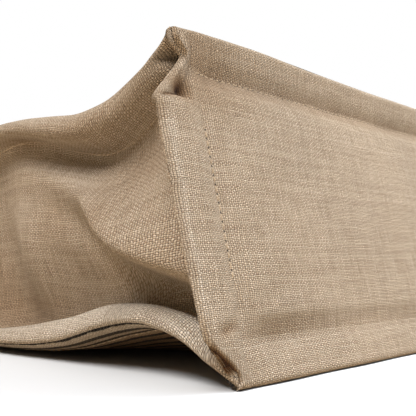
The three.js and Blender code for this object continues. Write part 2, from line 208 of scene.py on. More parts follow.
def clothPanel(name, node, sheet, turned, straight=False):
    skeleton, edge = sheet["skeleton"], sheet["edge"]
    flat = np.stack(np.meshgrid(sheet["a"], sheet["b"]), -1)
    normals = gridNormals(skeleton, turned)
    lift = lerp(bag["layer"], bag["finPuff"], sheet["finShare"])
    lip = np.clip(1 - edge / bag["lip"], 0, 1)
    lift = lift - np.minimum(lift - bag["lipGap"], bag["lip"]) * (1 - np.sqrt(1 - lip ** 2))
    thick = bag["cloth"] * (1 - bag["lipThin"] * lip) * (1 + sheet["hemShare"])
    outer = skeleton + normals * lift[..., None]
    inner = skeleton + normals * (lift - thick)[..., None]
    rows, columns = edge.shape
    under = rows * columns
    number = np.arange(under).reshape(rows, columns)
    quads = np.stack([number[:-1, :-1], number[:-1, 1:], number[1:, 1:], number[1:, :-1]], -1).reshape(-1, 4)
    rim = np.concatenate([number[0, :-1], number[:-1, -1], number[-1, :0:-1], number[:0:-1, 0]])
    following = np.roll(rim, -1)
    sides = np.stack([following, rim, rim + under, following + under], -1)
    faces = np.concatenate([quads, quads[:, ::-1] + under, sides])
    if turned:
        faces = faces[:, ::-1]
    laid = flat if straight else unstretch(outer, flat)
    outer[..., 1] -= bag["setback"]
    inner[..., 1] -= bag["setback"]
    points = np.concatenate([outer.reshape(-1, 3), inner.reshape(-1, 3)])
    points[:, 2] = np.maximum(points[:, 2], bag["floorGap"])
    panel = meshObject(name, points, faces, np.concatenate([laid.reshape(-1, 2)] * 2))
    # painted shade above zero, darkening creases, hollows and cloth that little light reaches; painted light
    # below zero, paling folds that catch the light
    pointValues(panel, "paintedShadeAndLight", np.concatenate([np.clip(sheet["paintedShadeAndLight"], -1, 1).ravel()] * 2))
    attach(panel, "bag")
    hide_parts(node)
    print(name, len(panel.data.vertices), "points")
    size = (float(sheet["a"][-1]), float(sheet["b"][-1]))
    return sheet | {"piece": panel, "outer": outer, "normals": normals, "flat": size}


# Seam lines. Ridges are the outer folds, roots are the stitch lines
leftRidge = {  # how far the photographed side fin stands out, up the slope: slit, long run, petal, dent, tip
    "along": [0, 3.2, 5.5, 9.4, 13.4, 17.2, 24, 60, 107.9, 110.1, 118.3, 127.2, 129.9, 136, 141],
    "value": [0, 2.2, 0.6, -3.2, -8.4, -12.6, -13.6, -15, -16.6, -15.6, -6.9, 2.4, 4.8, -0.5, 0],
    "soft": 1.2,
}
plainRidge = {"bulge": 15, "rise": 22}
seams = {
    "decay": 19, "frontHump": 20, "humpPeak": 52, "backLevel": 113, "backAtMouth": 75, "slumpStart": 125,
    "frontReach": 12, "backReach": 10, "cornerShare": 0.045, "cornerBehind": 5, "leastRoot": 2.2,
    "backTrim": {"along": [34, 44, 64, 84, 103, 123, 144],
                 "value": [0, 2, 1.3, -2.2, -3.7, -1.4, 0], "soft": 6},
    "humpTrim": {"along": [22, 40, 55, 78, 103, 125, 150, 190, 230, 300],
                 "value": [0, -1.2, -0.2, -0.8, -2.0, -1.2, 0.4, 2.6, 2.4, 0], "soft": 6},
    "frontRise": {"along": [0, 25, 60, 190, 260, 370], "value": [7, 6, -3, -3, 7, 7], "soft": 8},
    "backDrop": {"along": [0, 60, 97, 125, 149, 167, 200, 370],
                 "value": [14, 16.5, 19, 16, 9.5, 6.5, 8, 14], "soft": 8},
    "frontTuck": (1.8, 0, 1.0), "backTuck": (1.6, 0, -1.2),
    "backInset": 9, "backLift": 2.7, "insetRun": 50,
}


def sideRidgeReach(v, side):
    if side < 0:
        return softLine(v, leftRidge)
    return -plainRidge["bulge"] * window(v, 0, bag["baseDepth"], plainRidge["rise"])


def toSide(points, side):
    points = np.array(points)
    if side > 0:
        points[..., 0] *= -1
    return points


def lengthRidge(f, front):  # along the bag from a corner tip to the mouth
    tip = basePoint(0, 0 if front else bag["baseDepth"], 0)
    distance = (bag["length"] - tip[1]) * f
    y = tip[1] + distance
    if front:
        share = distance / seams["humpPeak"]
        z = tip[2] + seams["frontHump"] * (share * np.exp(1 - share)) ** 2
        z = z + softLine(y, seams["humpTrim"])
        inset = np.zeros_like(distance)
    else:
        start, level = seams["slumpStart"], seams["backLevel"]
        slump = rising(distance, start, bag["length"] - tip[1] - start)
        z = level + (tip[2] - level) * np.exp(-distance / seams["decay"])
        z = z - (level - seams["backAtMouth"]) * slump + softLine(y, seams["backTrim"])
        inset = ramp(distance / seams["insetRun"])
    return np.stack([tip[0] + seams["backInset"] * inset, y, z + seams["backLift"] * inset], -1)


def lengthRoot(f, front):  # the stitch line beside that ridge
    ridge = lengthRidge(lerp(seams["cornerShare"], 1, f), front)
    cornerV = bag["endFin"] if front else bag["baseDepth"] - bag["endFin"]
    corner = basePoint(bag["stitchInset"], cornerV, seams["cornerBehind"])
    settled = ridge + np.array([seams["frontReach" if front else "backReach"], 0, 0])
    if front:
        settled[..., 2] += softLine(ridge[..., 1], seams["frontRise"])
    else:
        settled[..., 2] -= softLine(ridge[..., 1], seams["backDrop"])
    settled[..., 2] = np.maximum(settled[..., 2], seams["leastRoot"])
    blend = (1 - np.exp(-f * bag["length"] / seams["decay"]))[..., None]
    root = lerp(corner, settled, blend)
    root[..., 1] = lerp(corner[1], bag["length"], f)
    return root


# Base, facing the camera
baseFace = {
    "stepsAcross": [0.4, 1.1, 1.4, 3, 2.4, 2, 0.5], "nearFine": 80, "farFine": 60,
    "stepsUp": [0.4, 1.2, 1.4, 1.2, 0.4], "relaxed": 2, "lowFin": 0.6,
    "topCrease": 5, "topSoft": 4.5, "lowCrease": 3.5, "lowSoft": 7,
    "lowFade": (28, 50), "lowLeast": 0.45, "cornerFade": 26,
    "creaseShade": 0.22, "topShade": (-2, 5), "lowShade": (1, 3), "lowShare": 0.5,
    "sideDent": 1.0, "sideSoft": 3, "sideUp": (12, 117, 14),
    "wave": 0.5, "waveSize": 46, "waveSeed": 3,
    "crown": {"along": [3, 14, 28, 45, 75, 108, 150], "value": [0, 1.5, 2.2, 2.4, 2.0, 1.2, 0.6],
              "soft": 5, "deep": 30},
    "petal": {"dent": (4.8, 129.9), "outer": (-16.6, 107.9), "pit": (-1.0, 109.5), "depth": 3, "power": 0.8,
              "step": 0.9, "wall": 6, "soft": 5, "lap": 1.3, "lapFade": (-4, 10)},
    # the pit of the tucked corner; dark, line, lineSoft and above size the painted shade in it and along its
    # fold
    "hollow": {"place": (-1.8, 114.2), "reach": 3.6, "depth": 3, "dark": 5.0,
               "line": 0.8, "lineSoft": 1.0, "above": 0.9},
    # edgeDark and wallDark set painted shade on the base's edge and the side wall beside the slit
    "slit": {"behind": 3.2, "across": 1.7, "up": (3.5, 17, 2.5, 4), "edgeDark": 0.9, "wallDark": (3.2, 1.0)},
    "overBoard": {"across": (14, 386, 6), "up": (21, 120, 5), "proud": 0.6, "least": 0.35},
    "dim": [  # painted shade on the corner that leans back, and on the face below it
        {"at": (26, 132), "soft": (22, 13), "shade": 0.27},
        {"at": (30, 113), "soft": (26, 9), "shade": 0.15},
    ],
    "edgeDrop": 0.9, "dropRun": 8,
    # painted light: the side flange paler
    "paintedLight": {"pale": 0.12, "across": (7, 4), "up": (22, 104, 8)},
    "wrinkle": {"from": (-8.1, 18.6), "to": (8.4, 24.2), "depth": 1.7, "soft": 1.8, "shade": 0.2, "below": 1},
    "grooveEnds": (3, 2), "sideStitches": (36, 100),
}


def crownRise(u, v):  # the upper ridge bows up between the corners
    crown = baseFace["crown"]
    along = softLine(np.minimum(u, bag["width"] - u), crown)
    return along * rising(v, bag["baseDepth"] - crown["deep"], crown["deep"])


def petalFold(u, v):  # a triangle of the fin tucked in behind its lower edge
    petal = baseFace["petal"]
    dent, outer, pit = (np.array(petal[key]) for key in ("dent", "outer", "pit"))
    area = np.cross(outer - dent, pit - dent)
    point = np.stack([u, v], -1)
    toPit = np.cross(outer - dent, point - dent) / area
    toOuter = np.cross(point - dent, pit - dent) / area
    toDent = 1 - toPit - toOuter
    past = -toOuter * abs(area) / np.linalg.norm(pit - dent)
    below = -toDent * abs(area) / np.linalg.norm(pit - outer)
    tucked = petal["depth"] * np.clip(toPit, 0, 1) ** petal["power"]
    tucked = tucked * (1 - ramp(past / petal["wall"])) * (1 - ramp(below / petal["step"]))
    lapping = petal["lap"] * np.where(below > 0, np.exp(-below / petal["soft"]), 0)
    return tucked - lapping * (1 - rising(past, *petal["lapFade"]))


# painted shade in the pit and along the fold line into it
def petalPaintedShade(u, v):
    petal, hollow = baseFace["petal"], baseFace["hollow"]
    pit = roundSpot(u, v, hollow["place"], hollow["dark"])
    line = {"from": petal["outer"], "to": petal["pit"], "depth": hollow["line"], "soft": hollow["lineSoft"]}
    return np.clip(pit + groove(u, v - hollow["above"], line), 0, 1)


def slitShare(v):  # where the base's edge stands clear of the side wall by the lower corner
    return window(v, *baseFace["slit"]["up"])


def groove(u, v, line):
    start, end = np.array(line["from"]), np.array(line["to"])
    run = end - start
    share = ((u - start[0]) * run[0] + (v - start[1]) * run[1]) / (run @ run)
    off = np.hypot(u - start[0] - share * run[0], v - start[1] - share * run[1])
    rise, fall = baseFace["grooveEnds"]
    return line["depth"] * bell(off, 0, line["soft"]) * ramp(share * rise) * ramp((1 - share) * fall)


def makeBase():
    fin, inset, depth, endFin = bag["sideFin"], bag["stitchInset"], bag["baseDepth"], bag["endFin"]
    far, top, lip = bag["width"] - 2 * inset + 2 * fin, depth - endFin, bag["lip"]
    a = stations([0, lip, fin, baseFace["nearFine"], far - baseFace["farFine"], far - fin, far - lip, far],
                 baseFace["stepsAcross"])
    b = stations([0, lip, endFin, top, depth - lip, depth], baseFace["stepsUp"])
    A, v = np.meshgrid(a, b)
    left = lerp(sideRidgeReach(v, -1), inset, A / fin)
    right = bag["width"] - lerp(sideRidgeReach(v, 1), inset, (far - A) / fin)
    u = np.where(A < fin, left, np.where(A > far - fin, right, inset + A - fin))
    fade = window(u, 0, bag["width"], baseFace["cornerFade"])
    # the lower crease weakens away from the corner
    faint = lerp(1, baseFace["lowLeast"], rising(u, *baseFace["lowFade"]))
    topDent = np.where(v < top, np.exp((v - top) / baseFace["topSoft"]), 1 - (v - top) / endFin)
    lowDent = faint * np.where(v > endFin, np.exp((endFin - v) / baseFace["lowSoft"]), v / endFin)
    w = fade * (baseFace["topCrease"] * topDent + baseFace["lowCrease"] * lowDent)
    sides = bell(u, inset, baseFace["sideSoft"]) + bell(u, bag["width"] - inset, baseFace["sideSoft"])
    w += baseFace["sideDent"] * sides * window(v, *baseFace["sideUp"])
    w += baseFace["wave"] * waves(u, v, baseFace["waveSize"], baseFace["waveSeed"])
    wrinkle, hollow, over = baseFace["wrinkle"], baseFace["hollow"], baseFace["overBoard"]
    w += petalFold(u, v) + groove(u, v, wrinkle)
    w += hollow["depth"] * roundSpot(u, v, hollow["place"], hollow["reach"])
    proud = np.minimum(w - over["proud"], -over["least"])
    w = lerp(w, proud, window(u, *over["across"]) * window(v, *over["up"]))
    edge = np.minimum.reduce([A, far - A, v, depth - v])
    skeleton = basePoint(u, v + crownRise(u, v), w)
    skeleton[..., 2] -= baseFace["edgeDrop"] * (1 - ramp(v / baseFace["dropRun"]))
    relax(skeleton, edge, baseFace["relaxed"])
    finShare = np.maximum.reduce([finRise(fin - A, fin), finRise(A - far + fin, fin),
                                  finRise(v - top, endFin), baseFace["lowFin"] * finRise(endFin - v, endFin)])
    # painted shade along the creases, in the tucked corner's pit, beside the slit, in the listed dim spots
    # and below the wrinkle; painted light on the side flange
    (topAt, topSoft), (lowAt, lowSoft) = baseFace["topShade"], baseFace["lowShade"]
    paintedCreaseShade = bell(v, top + topAt, topSoft) + baseFace["lowShare"] * faint * bell(v, endFin + lowAt, lowSoft)
    paintedLight = baseFace["paintedLight"]
    paintedShadeAndLight = petalPaintedShade(u, v) + slitShare(v) * ramp(1 - A / baseFace["slit"]["edgeDark"])
    paintedShadeAndLight += baseFace["creaseShade"] * fade * paintedCreaseShade + softSpots(A, v, baseFace["dim"])
    paintedShadeAndLight += wrinkle["shade"] * groove(u, v + wrinkle["below"], wrinkle)
    paintedShadeAndLight -= paintedLight["pale"] * falling(A, *paintedLight["across"]) * window(v, *paintedLight["up"])
    stitched = [("a", fin, *baseFace["sideStitches"]), ("a", far - fin, endFin, top),
                ("b", top, fin, far - fin)]
    return clothPanel("base_cloth", "bottom_panel", {
        "a": a, "b": b, "skeleton": skeleton, "edge": edge, "finShare": finShare, "hemShare": 0,
        "paintedShadeAndLight": paintedShadeAndLight, "stitched": stitched}, False)


# Gussets
gusset = {
    "height": 107, "nearFine": 130, "mouthFine": 4, "coarser": 1.7, "relaxed": 3, "baseFin": 0.2,
    "stepsAlong": [0.4, 1.4, 1.6, 2.6, 0.8], "stepsAcross": [0.4, 1.2, 1.5, 1.4, 0.4],
    "backRoll": {"along": [34, 94, 130, 172, 300, 370], "value": [0, 11.5, 11.5, 5, 5, 0], "soft": 10},
    "frontRoll": {"along": [0, 25, 48, 75, 115, 150, 190, 260, 370],
                  "value": [3, 4, 5.5, 9.5, 9.5, 6.5, 3.5, 2, 0], "soft": 8},
    "tuck": {"across": 0.2, "behind": 0.15, "up": (14, 143, 8, 5)},
    "pocket": {"along": (9, 9), "rise": 5, "up": (100, 141, 14, 6), "depth": 14, "shadeRise": 2},
    "pocketShade": [{"at": (5, 127), "soft": (7, 9), "shade": 0.5}],
    # room behind the base's tucked corner, and the strip that stands off beside the slit
    "petalClear": {"up": (106, 131, 5), "along": (0, 22, 3, 10), "depth": 7},
    "band": {"along": (0, 19, 2.4, 14), "shift": (-4.6, -4.0, 1.0)},
    "crest": {  # lower edge of the bulge beside the base: sharp there, softer as it climbs towards the mouth
        "along": [0, 10, 27, 43, 57, 65, 72, 84, 105, 130, 160, 190],
        "high": [38, 39, 43, 47, 52, 57, 64, 74, 82, 88, 93, 96],
        "out": [0, 13, 23, 27, 28, 28, 27, 25, 20, 14, 6, 0],
        "under": [5, 5, 6, 7, 10, 16, 23, 30, 36, 38, 40, 40],
        "soft": 6, "leastRise": 8,
    },
    "hollow": 8, "hollowDrop": 13, "hollowSoft": 10,
    "ridge": {"high": [19, 56, 88], "along": [132, 144, 158], "soft": 19, "out": 5},
    "valley": {"high": [15, 27, 51, 88], "along": [160, 165, 170, 181], "soft": 20, "out": -8,
               "past": 22, "shadeSoft": 26, "shade": 0.24, "shadeAt": (48, 24)},
    "lineFade": (45, 40), "lineLost": 0.7,
    "recess": {"high": (8, 23), "along": (60, 40), "in": 13},
    "dim": [  # painted shade where the wall tucks in above the front fold, and where it dips beside the bulge
        {"at": (170, 31), "soft": (68, 12), "shade": 0.36},
        {"at": (154, 124), "soft": (12, 6), "shade": 0.26},
        {"at": (58, 100), "soft": (22, 14), "shade": 0.16},
        {"at": (78, 140), "soft": (28, 6), "shade": 0.16},
        {"at": (116, 81), "soft": (14, 10), "shade": 0.12},
        {"at": (72, 75), "soft": (9, 12), "shade": 0.14},
    ],
    "mostDim": 0.42, "plainDim": 0.45,  # mostDim caps the painted shade; the other gusset gets less of it
    # painted light: the front fold paler, as where light falls on its top
    "paintedLight": {"pale": 0.3, "wide": 4, "along": (12, 330, 14, 290)},
    "fold": 42, "foldStart": 150, "wave": 1.1, "waveSize": 55, "waveSeed": 8, "waveRun": 40,
}


def gussetShape(s, z, zHigh, g):  # push to the inside
    crest, recess = gusset["crest"], gusset["recess"]
    high, out, soft = (softLine(s, crest, key) for key in ("high", "out", "under"))
    rise = np.clip((z - high) / np.maximum(zHigh - high, crest["leastRise"]), 0, 1)
    over = 1 - 1.5 * rise + 0.5 * rise ** 3  # the curve of a strip bent over the crest
    push = out * np.where(z > high, over, bell(z, high, soft))
    sunk = bell(z, high - gusset["hollowDrop"], gusset["hollowSoft"])
    push = push - gusset["hollow"] * out / max(crest["out"]) * sunk
    fade = 1 - gusset["lineLost"] * rising(z, *gusset["lineFade"])
    for line in (gusset["ridge"], gusset["valley"]):
        push = push + line["out"] * fade * bell(s, np.interp(z, line["high"], line["along"]), line["soft"])
    push = push - recess["in"] * bell(z, *recess["high"]) * rising(s, *recess["along"])
    sag = rising(s, gusset["foldStart"], bag["length"] - gusset["foldStart"])
    bow = np.sin(math.pi * g)
    return gusset["fold"] * bow * sag - push * bow ** 0.5


def widened(steps, share):
    return [steps[0], *(share * step for step in steps[1:-1]), steps[-1]]


def gussetByBase(skeleton, A, v, side):  # the end that is sewn to the base: slit, tucked corner and pocket
    band, clear, pocket = gusset["band"], gusset["petalClear"], gusset["pocket"]
    if side < 0:
        standing = slitShare(v)[:, None] * window(A, *band["along"])
        skeleton = skeleton + standing[..., None] * np.array(band["shift"])
    room = clear["depth"] * window(v, *clear["up"])[:, None] * window(A, *clear["along"])
    skeleton = skeleton + room[..., None] * (basePoint(0, 0, 1) - basePoint(0, 0, 0))
    sunk = bell(A, *pocket["along"]) * ramp(A / pocket["rise"]) * window(v, *pocket["up"])[:, None]
    skeleton[..., 0] += pocket["depth"] * sunk
    return skeleton


# painted shade in the valley, in the listed dim spots, beside the slit and in the pocket; painted light on
# the front fold
def gussetPaintedShade(A, B, v, side):
    valley, paintedLight = gusset["valley"], gusset["paintedLight"]
    past = A - bag["sideFin"] - np.interp(B, valley["high"], valley["along"]) + bag["endFin"] - valley["past"]
    dims = valley["shade"] * bell(past, 0, valley["shadeSoft"]) * bell(B, *valley["shadeAt"])
    dims = dims + softSpots(A, B, gusset["dim"])
    paintedShadeAndLight = gusset["mostDim"] * np.tanh(dims / gusset["mostDim"])
    if side < 0:
        paintedShadeAndLight = paintedShadeAndLight + slitShare(v)[:, None] * falling(A, *baseFace["slit"]["wallDark"])
    else:
        paintedShadeAndLight = paintedShadeAndLight * gusset["plainDim"]
    paintedLightFold = falling(B, bag["frontFin"], paintedLight["wide"]) * window(A, *paintedLight["along"])
    shaded = softSpots(A, v[:, None], gusset["pocketShade"]) * ramp(A / gusset["pocket"]["shadeRise"])
    return paintedShadeAndLight - paintedLight["pale"] * paintedLightFold + shaded


def makeGusset(name, node, side):
    fin, low, high, tall, lip = bag["sideFin"], bag["frontFin"], bag["backFin"], gusset["height"], bag["lip"]
    depth, endFin = bag["baseDepth"], bag["endFin"]
    longSide = bag["length"] - endFin
    far, upper, top = fin + longSide, low + tall, low + tall + high
    fine = 1.0 if side < 0 else gusset["coarser"]
    a = stations([0, lip, fin, fin + gusset["nearFine"], far - gusset["mouthFine"], far],
                 widened(gusset["stepsAlong"], fine))
    b = stations([0, lip, low, upper, top - lip, top], widened(gusset["stepsAcross"], fine))
    t = np.clip((a - fin) / longSide, 0, 1)
    ridgeShare = lerp(seams["cornerShare"], 1, t)
    frontRidge, backRidge = lengthRidge(ridgeShare, True), lengthRidge(ridgeShare, False)
    frontRoot, backRoot = lengthRoot(t, True), lengthRoot(t, False)
    A, B = np.meshgrid(a, b)
    g = np.clip((B - low) / tall, 0, 1)[..., None]
    points = lerp(frontRoot[None], backRoot[None], g)
    points[..., 0] += gussetShape(points[..., 1], points[..., 2], backRoot[None, :, 2], g[..., 0])
    rippled = waves(points[..., 1], points[..., 2], gusset["waveSize"], gusset["waveSeed"] + side)
    points[..., 0] += gusset["wave"] * rising(A, fin, gusset["waveRun"]) * rippled
    frontShare = np.clip(1 - B / low, 0, 1)[..., None]
    backShare = np.clip((B - upper) / high, 0, 1)[..., None]
    points += frontShare * (frontRidge - frontRoot)[None] + backShare * (backRidge - backRoot)[None]
    points[..., 0] -= softLine(points[..., 1], gusset["backRoll"]) * np.sin(math.pi * backShare[..., 0])
    points[..., 2] += softLine(points[..., 1], gusset["frontRoll"]) * np.sin(math.pi * frontShare[..., 0])
    v = np.interp(b, [0, low, upper, top], [0, endFin, depth - endFin, depth])
    tuck, slit = gusset["tuck"], baseFace["slit"]
    tucked = window(v, *tuck["up"])
    behind, across = tuck["behind"] * tucked, tuck["across"] * tucked
    reach = sideRidgeReach(v, side)
    if side < 0:
        behind = behind + slit["behind"] * slitShare(v) + petalFold(reach, v)
        across = across + slit["across"] * slitShare(v)
    baseRidge = basePoint(reach + across, v, behind)
    inner = points[:, np.searchsorted(a, fin - 1e-6)]
    k = np.clip(A / fin, 0, 1)[..., None]
    skeleton = np.where(A[..., None] < fin, lerp(baseRidge[:, None], inner[:, None], k), points)
    skeleton = gussetByBase(skeleton, A, v, side)
    sewn = np.minimum.reduce([A, B, top - B])
    relax(skeleton, sewn, gusset["relaxed"])
    finShare = np.maximum.reduce([gusset["baseFin"] * finRise(fin - A, fin), finRise(low - B, low),
                                  finRise(B - upper, high)])
    stitched = [("b", low, fin, far), ("b", upper, fin, far), ("a", far - bag["hemStitch"], low, upper)]
    return clothPanel(name, node, {
        "a": a, "b": b, "skeleton": toSide(skeleton, side), "edge": np.minimum(sewn, far - A),
        "finShare": finShare * flatAtMouth(far - A), "hemShare": hemRaise(far - A, B, low, upper),
        "paintedShadeAndLight": gussetPaintedShade(A, B, v, side), "stitched": stitched}, side < 0)


# Front and back panels
wide = {
    "stepsAcross": [0.5, 1.5, 2, 3.4, 3, 2, 0.5], "stepsAlong": [0.5, 1.6, 3, 0.8],
    "sideFine": 60, "mouthFine": 4, "relaxed": 2,
    "frontLevel": 0.85, "frontAtMouth": 6.35, "frontRise": (250, 45),
    "frontBlend": 60, "frontFall": 1.15, "endTuck": (0, 1.6, 0.5),
    # painted light on the outside of the lifted edge, painted shade on the cloth under it
    "hump": {"pale": 0.34, "edge": (8, 6), "deep": 0.6, "under": (8, 20),
             "along": (240, 60), "across": (90, 40)},
    "backAtMouth": 62.6, "backFlatStart": 300, "backBlend": 70,
    "slack": {"depth": 2.4, "size": 75, "seed": 21, "along": (40, 290, 50, 60), "side": 50},
}


def wideHeight(inwards, y, edgeZ, fromEdge, corner, front):
    if front:
        level = lerp(wide["frontLevel"], wide["frontAtMouth"], rising(y, *wide["frontRise"]))
        side = (edgeZ - level) * (1 - np.clip(fromEdge / wide["frontBlend"], 0, 1)) ** wide["frontFall"]
        atBase = (corner[2] - level) * (1 - rising(y, corner[1], wide["frontBlend"]))
        return level + np.maximum(side, atBase)
    slack = wide["slack"]
    middle = lerp(corner[2], wide["backAtMouth"], rising(y, corner[1], wide["backFlatStart"] - corner[1]))
    loose = window(y, *slack["along"]) * ramp(fromEdge / slack["side"])
    loose = loose * waves(inwards, y, slack["size"], slack["seed"])
    return lerp(edgeZ, middle, ramp(fromEdge / wide["backBlend"])) + slack["depth"] * loose


def makeWidePanel(name, node, front):
    fin = bag["frontFin"] if front else bag["backFin"]
    endFin, lip, hump = bag["endFin"], bag["lip"], wide["hump"]
    longSide = bag["length"] - (endFin if front else bag["baseDepth"] * math.sin(math.radians(bag["lean"])))
    reach = seams["frontReach"] if front else seams["backReach"] + seams["backInset"]
    across = bag["width"] - 2 * reach
    right, side, far = fin + across, across + 2 * fin, endFin + longSide
    a = stations([0, lip, fin, fin + wide["sideFine"], right - wide["sideFine"], right, side - lip, side],
                 wide["stepsAcross"])
    b = stations([0, lip, endFin, far - wide["mouthFine"], far], wide["stepsAlong"])
    t = np.clip((b - endFin) / longSide, 0, 1)
    ridge = lengthRidge(lerp(seams["cornerShare"], 1, t), front)
    ridge += np.array(seams["frontTuck" if front else "backTuck"])
    root = lengthRoot(t, front)
    A, B = np.meshgrid(a, b)
    points = np.repeat(root[:, None], len(a), 1)
    x, y, z = (points[..., k].copy() for k in range(3))
    inwards = (1 - 2 * np.clip((A - fin) / across, 0, 1)) * x
    points[..., 0] = inwards
    points[..., 2] = wideHeight(inwards, y, z, -abs(inwards) - x, root[0], front)
    ridgeOut = (ridge - root)[:, None]
    leftShare = np.clip(1 - A / fin, 0, 1)[..., None]
    rightShare = np.clip((A - right) / fin, 0, 1)[..., None]
    points += leftShare * ridgeOut + rightShare * ridgeOut * np.array([-1, 1, 1])
    u = bag["width"] * a / side
    endV = 0 if front else bag["baseDepth"]
    endRidge = basePoint(u, endV + crownRise(u, endV), 0)
    finShare = np.maximum(finRise(fin - A, fin), finRise(A - right, fin))
    if front:
        endRidge = endRidge + np.array(wide["endTuck"])
    else:
        finShare = np.maximum(finShare, finRise(endFin - B, endFin))
    first = points[np.searchsorted(b, endFin - 1e-6)]
    k = np.clip(B / endFin, 0, 1)[..., None]
    skeleton = np.where(B[..., None] < endFin, lerp(endRidge[None], first[None], k), points)
    inset = np.minimum(A, side - A)
    relax(skeleton, np.minimum(inset, B), wide["relaxed"])
    # painted shade under the lifted front edge, painted light along it
    paintedShadeAndLight = hump["deep"] * rising(inset, *hump["under"]) - hump["pale"] * falling(inset, *hump["edge"])
    paintedShadeAndLight *= falling(B, *hump["along"]) * falling(inset, *hump["across"])
    stitched = [("a", fin, endFin, far), ("a", right, endFin, far), ("b", endFin, fin, right),
                ("b", far - bag["hemStitch"], fin, right)]
    return clothPanel(name, node, {
        "a": a, "b": b, "skeleton": skeleton, "edge": np.minimum.reduce([inset, B, far - B]),
        "finShare": finShare * flatAtMouth(far - B), "hemShare": hemRaise(far - B, A, fin, right),
        "paintedShadeAndLight": paintedShadeAndLight * front, "stitched": stitched}, front, straight=front)


base = makeBase()
leftSide = makeGusset("left_gusset_cloth", "left_gusset", -1)
rightSide = makeGusset("right_gusset_cloth", "right_gusset", 1)
frontSide = makeWidePanel("front_cloth", "front_panel", True)
backSide = makeWidePanel("back_cloth", "back_panel", False)


# Topstitching: one short dipping length of thread between each two needle holes
stitch = {
    "pitch": 3.75, "thread": 2.9, "radius": 0.3, "taper": 0.8, "proud": 0.4, "sink": 0.35,
    # each needle hole is a dark disc just above the cloth, painted shade standing for the hole
    "rings": 5, "sides": 6, "hole": 0.5, "holeLift": 0.06,
}


def alongSeam(side, axis, place, start, end):
    across, run = (side["a"], side["b"]) if axis == "a" else (side["b"], side["a"])
    line = np.argmin(abs(across - place))
    points = side["outer"][:, line] if axis == "a" else side["outer"][line]
    normals = side["normals"][:, line] if axis == "a" else side["normals"][line]
    keep = (run >= start - 0.01) & (run <= end + 0.01)
    return points[keep], normals[keep]


def stitchSpots(points, normals):
    length = runLength(points)

    def at(d, values):
        return np.stack([np.interp(d, length, values[:, k]) for k in range(3)], -1)

    middles = np.arange(stitch["pitch"], length[-1] - stitch["pitch"] / 2, stitch["pitch"])
    reach = stitch["thread"] / 2
    run = at(middles + reach, points) - at(middles - reach, points)
    return at(middles, points), unit(run), at(middles, normals)


def stitchTemplate(holes):
    share = np.linspace(-1, 1, stitch["rings"])
    turn = np.arange(stitch["sides"]) * 2 * math.pi / stitch["sides"]
    thick = stitch["radius"] * np.sqrt(1 - stitch["taper"] * share ** 2)
    rise = stitch["radius"] * stitch["proud"] - stitch["sink"] * share ** 2
    along = np.repeat(share * stitch["thread"] / 2, stitch["sides"])
    across = np.outer(thick, np.cos(turn)).ravel()
    up = (rise[:, None] + np.outer(thick, np.sin(turn))).ravel()
    thread = np.stack([along, across, up], -1)
    spot = np.stack([stitch["pitch"] / 2 + stitch["hole"] * np.cos(turn), stitch["hole"] * np.sin(turn),
                     np.full_like(turn, stitch["holeLift"])], -1)
    faces = []
    sides = stitch["sides"]
    last = (stitch["rings"] - 1) * sides
    for low in range(0, last, sides):
        for k in range(sides):
            nextK = (k + 1) % sides
            faces.append([low + k, low + nextK, low + sides + nextK, low + sides + k])
    faces += [list(range(sides))[::-1], list(range(last, last + sides))]
    if not holes:
        return thread, faces, np.zeros(len(thread))
    faces.append(list(range(last + sides, last + 2 * sides)))
    dark = np.append(np.zeros(len(thread)), np.ones(len(spot)))
    return np.concatenate([thread, spot]), faces, dark


def makeStitching(name, side, holes=False):
    template, faces, dark = stitchTemplate(holes)
    spots = [stitchSpots(*alongSeam(side, *line)) for line in side["stitched"]]
    centre, run, normal = (np.concatenate(part) for part in zip(*spots))
    across = unit(np.cross(normal, run))
    turned = np.stack([run, across, np.cross(run, across)], 1)
    points = centre[:, None] + np.einsum("tk,nkj->ntj", template, turned)
    count = len(template)
    allFaces = [[corner + n * count for corner in face] for n in range(len(centre)) for face in faces]
    piece = meshObject(name, points.reshape(-1, 3), allFaces)
    pointValues(piece, "hole", np.tile(dark, len(centre)))
    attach(piece, "bag")
    side["stitching"] = piece
    print(name, len(centre), "stitches")


makeStitching("base_stitching", base, holes=True)
makeStitching("left_gusset_stitching", leftSide)
makeStitching("right_gusset_stitching", rightSide)
makeStitching("front_stitching", frontSide)
makeStitching("back_stitching", backSide)


# Strap handles: each one length of leather from tab to tab, bending at the mouth
strap = {
    "width": 25, "thick": 3.2, "round": 1.0, "roundSteps": 6, "lower": 1.9,
    "span": 150, "reach": 180, "legs": 90, "legSteps": 26, "topSteps": 75, "twistPower": 3,
    "tab": 62, "tabPast": 0.15, "tabSteps": 16, "endSteps": 12, "endLeast": 0.0006,
    "frontTilt": 3.1, "backFold": 170, "bend": 3.0, "bendSteps": 15, "settle": 30, "joinGap": 1.5,
    "frontBlend": (-6, 7), "backBlend": (-0.25, 2.0),  # along Y and up Z from the hinge
}


def hingeOf(name):
    joint = next(j for j in frame["record"]["behaviour"]["joints"] if j["name"] == name)
    return np.array(joint["pos_m"]) / mm


